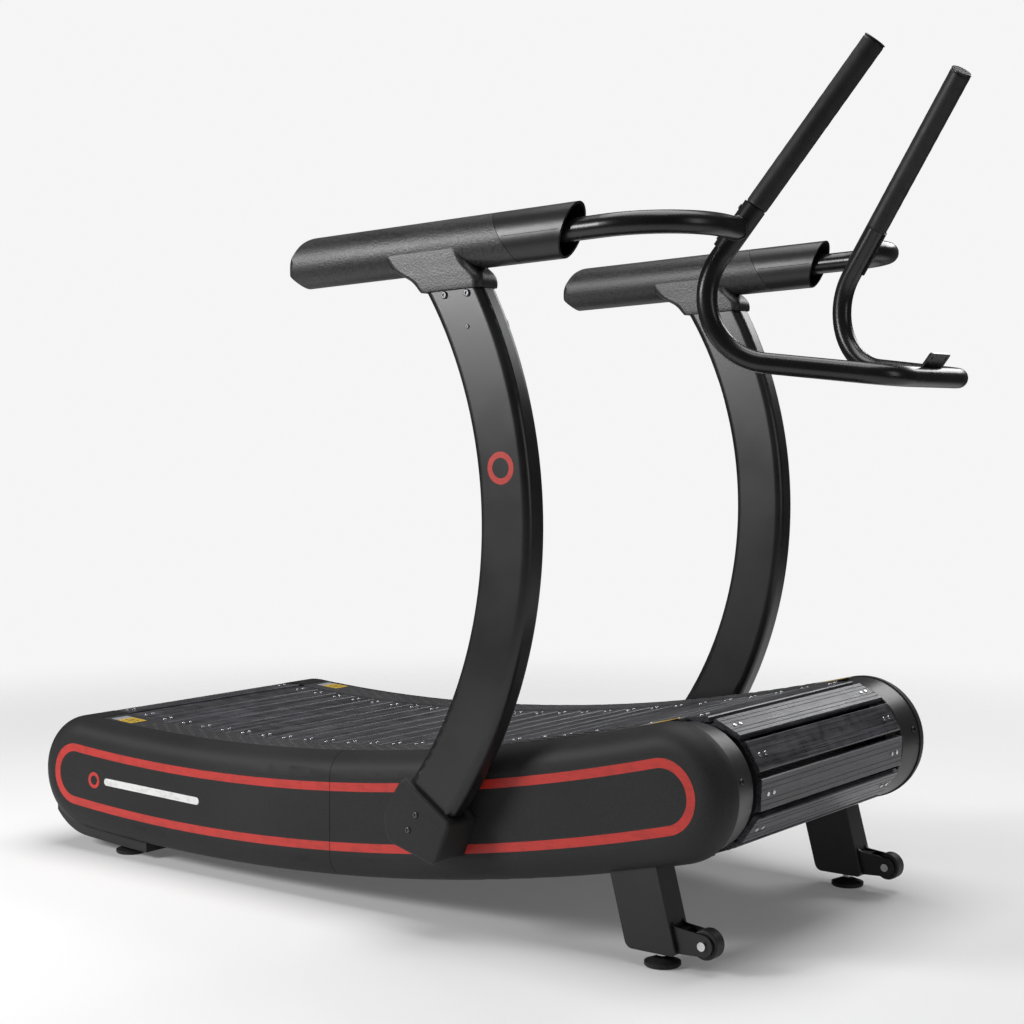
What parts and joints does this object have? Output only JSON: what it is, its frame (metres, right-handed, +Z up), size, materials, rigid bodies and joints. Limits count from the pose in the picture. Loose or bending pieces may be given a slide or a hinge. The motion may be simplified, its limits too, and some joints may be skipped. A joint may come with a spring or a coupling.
{
  "type": "curved manual treadmill",
  "caption": "Self-powered treadmill: slat belt on a concave deck over two drums, side covers, curved uprights with handrests and an angled grip bar.",
  "frame": {"origin": "on the floor, under the middle of the overall length and width", "axes": "+X the way the runner faces (tall front drum and wheels end), +Y to the runner's left, +Z up"},
  "size_m": [1.7561, 0.8688, 1.4317],
  "materials": {
    "slat": "black anodised and ribbed",
    "belt_rubber": "matt black",
    "screw_steel": "bright zinc",
    "machined_steel": "turned",
    "cast_pulley": "black painted casting",
    "frame_paint": "satin black powder coat",
    "roller_plastic": "turned black plastic",
    "cover_plastic": "fine matt texture",
    "footboard_plastic": "moulded anti-slip pattern",
    "ring_plastic": "satin",
    "grained_plastic": "grained",
    "smooth_plastic": "smooth satin",
    "tube_gloss": "satin black",
    "grip_rubber": "fine matt rubber",
    "wheel_rubber": "matt",
    "foot_rubber": "matt",
    "dial_grey": "grey",
    "disc_aluminium": "turned",
    "arm_steel": "zinc grey",
    "black_screw": "black oxide"
  },
  "bodies": {
    "frame": {"axle_bearings": "machined_steel", "bar_saddles": "frame_paint", "belt_tensioners": "machined_steel", "console_bar": "tube_gloss", "console_bracket": "frame_paint", "cover_supports": "frame_paint", "cross_members": "frame_paint", "deck_rollers": "roller_plastic", "foot_locknuts": "machined_steel", "footboard_left": "footboard_plastic", "footboard_right": "footboard_plastic", "front_cover_left": "cover_plastic", "front_cover_right": "cover_plastic", "front_leg_left": "frame_paint", "front_leg_right": "frame_paint", "front_rings": "ring_plastic", "grip_caps": "smooth_plastic", "grips": "grip_rubber", "handrest_front_shells": "smooth_plastic", "handrest_rear_left": "grained_plastic", "handrest_rear_right": "grained_plastic", "post_boots": "cover_plastic", "post_brackets": "frame_paint", "post_left": "frame_paint", "post_right": "frame_paint", "rear_cover_left": "cover_plastic", "rear_cover_right": "cover_plastic", "rear_foot_brackets": "frame_paint", "resistance_housing": "smooth_plastic", "roller_studs": "machined_steel", "side_frames": "frame_paint", "side_tubes": "tube_gloss", "trim_screws": "black_screw", "wheel_bolts": "machined_steel", "wheel_forks": "frame_paint"},
    "front_wrap": {"slats_front": "slat", "slat_screws_front": "screw_steel", "belts_front": "belt_rubber", "front_pulleys": "cast_pulley", "front_axle": "machined_steel", "brake_disc": "disc_aluminium"},
    "rear_wrap": {"slats_rear": "slat", "slat_screws_rear": "screw_steel", "belts_rear": "belt_rubber", "rear_pulleys": "cast_pulley", "rear_axle": "machined_steel"},
    "upper_run": {"slats_upper": "slat", "slat_screws_upper": "screw_steel", "belts_upper": "belt_rubber"},
    "lower_run": {"slats_lower": "slat", "slat_screws_lower": "screw_steel", "belts_lower": "belt_rubber"},
    "wheel_l": {"wheel_left": "wheel_rubber"},
    "wheel_r": {"wheel_right": "wheel_rubber"},
    "foot_fl": {"front_foot_left": "foot_rubber"},
    "foot_fr": {"front_foot_right": "foot_rubber"},
    "foot_rl": {"rear_foot_left": "foot_rubber"},
    "foot_rr": {"rear_foot_right": "foot_rubber"},
    "dial": {"resistance_dial": "dial_grey"},
    "brake_arm": {"magnet_arm": "arm_steel"}
  },
  "joints": [
    {"name": "belt_travel", "type": "hinge", "parent": "frame", "child": "front_wrap", "pos_m": [0.594, 0, 0.275], "axis": [0, 1, 0], "range_deg": [-16.64, 16.64]},
    {"name": "rear_drum_turn", "type": "hinge", "parent": "frame", "child": "rear_wrap", "pos_m": [-0.767, 0, 0.151], "axis": [0, 1, 0], "range_deg": [-16.67, 16.67]},
    {"name": "upper_run_travel", "type": "hinge", "parent": "frame", "child": "upper_run", "pos_m": [-0.45855, 0, 4.29654], "axis": [0, -1, 0], "range_deg": [-0.3857, 0.3857]},
    {"name": "lower_run_travel", "type": "slide", "parent": "frame", "child": "lower_run", "axis": [-0.9959, 0, -0.0907], "range_m": [-0.02735, 0.02735]},
    {"name": "wheel_left_spin", "type": "hinge", "parent": "frame", "child": "wheel_l", "pos_m": [0.648, 0.311, 0.0474], "axis": [0, 1, 0], "continuous": true},
    {"name": "wheel_right_spin", "type": "hinge", "parent": "frame", "child": "wheel_r", "pos_m": [0.648, -0.311, 0.0474], "axis": [0, 1, 0], "continuous": true},
    {"name": "front_foot_left_screw", "type": "slide", "parent": "frame", "child": "foot_fl", "axis": [0, 0, -1], "range_m": [0, 0.012]},
    {"name": "front_foot_right_screw", "type": "slide", "parent": "frame", "child": "foot_fr", "axis": [0, 0, -1], "range_m": [0, 0.012]},
    {"name": "rear_foot_left_screw", "type": "slide", "parent": "frame", "child": "foot_rl", "axis": [0, 0, -1], "range_m": [0, 0.012]},
    {"name": "rear_foot_right_screw", "type": "slide", "parent": "frame", "child": "foot_rr", "axis": [0, 0, -1], "range_m": [0, 0.012]},
    {"name": "resistance_dial_turn", "type": "hinge", "parent": "frame", "child": "dial", "pos_m": [0.26168, -0.345, 0.99437], "axis": [0, 1, 0], "range_deg": [0, 270]},
    {"name": "brake_arm_swing", "type": "hinge", "parent": "frame", "child": "brake_arm", "pos_m": [0.52, -0.293, 0.345], "axis": [0, 1, 0], "range_deg": [0, 18]}
  ],
  "couplings": [
    {"joint": "rear_drum_turn", "follows": "belt_travel", "ratio": 1},
    {"joint": "upper_run_travel", "follows": "belt_travel", "ratio": 0.023136},
    {"joint": "lower_run_travel", "follows": "belt_travel", "m_per_rad": 0.094},
    {"joint": "brake_arm_swing", "follows": "resistance_dial_turn", "ratio": 0.066667}
  ]
}
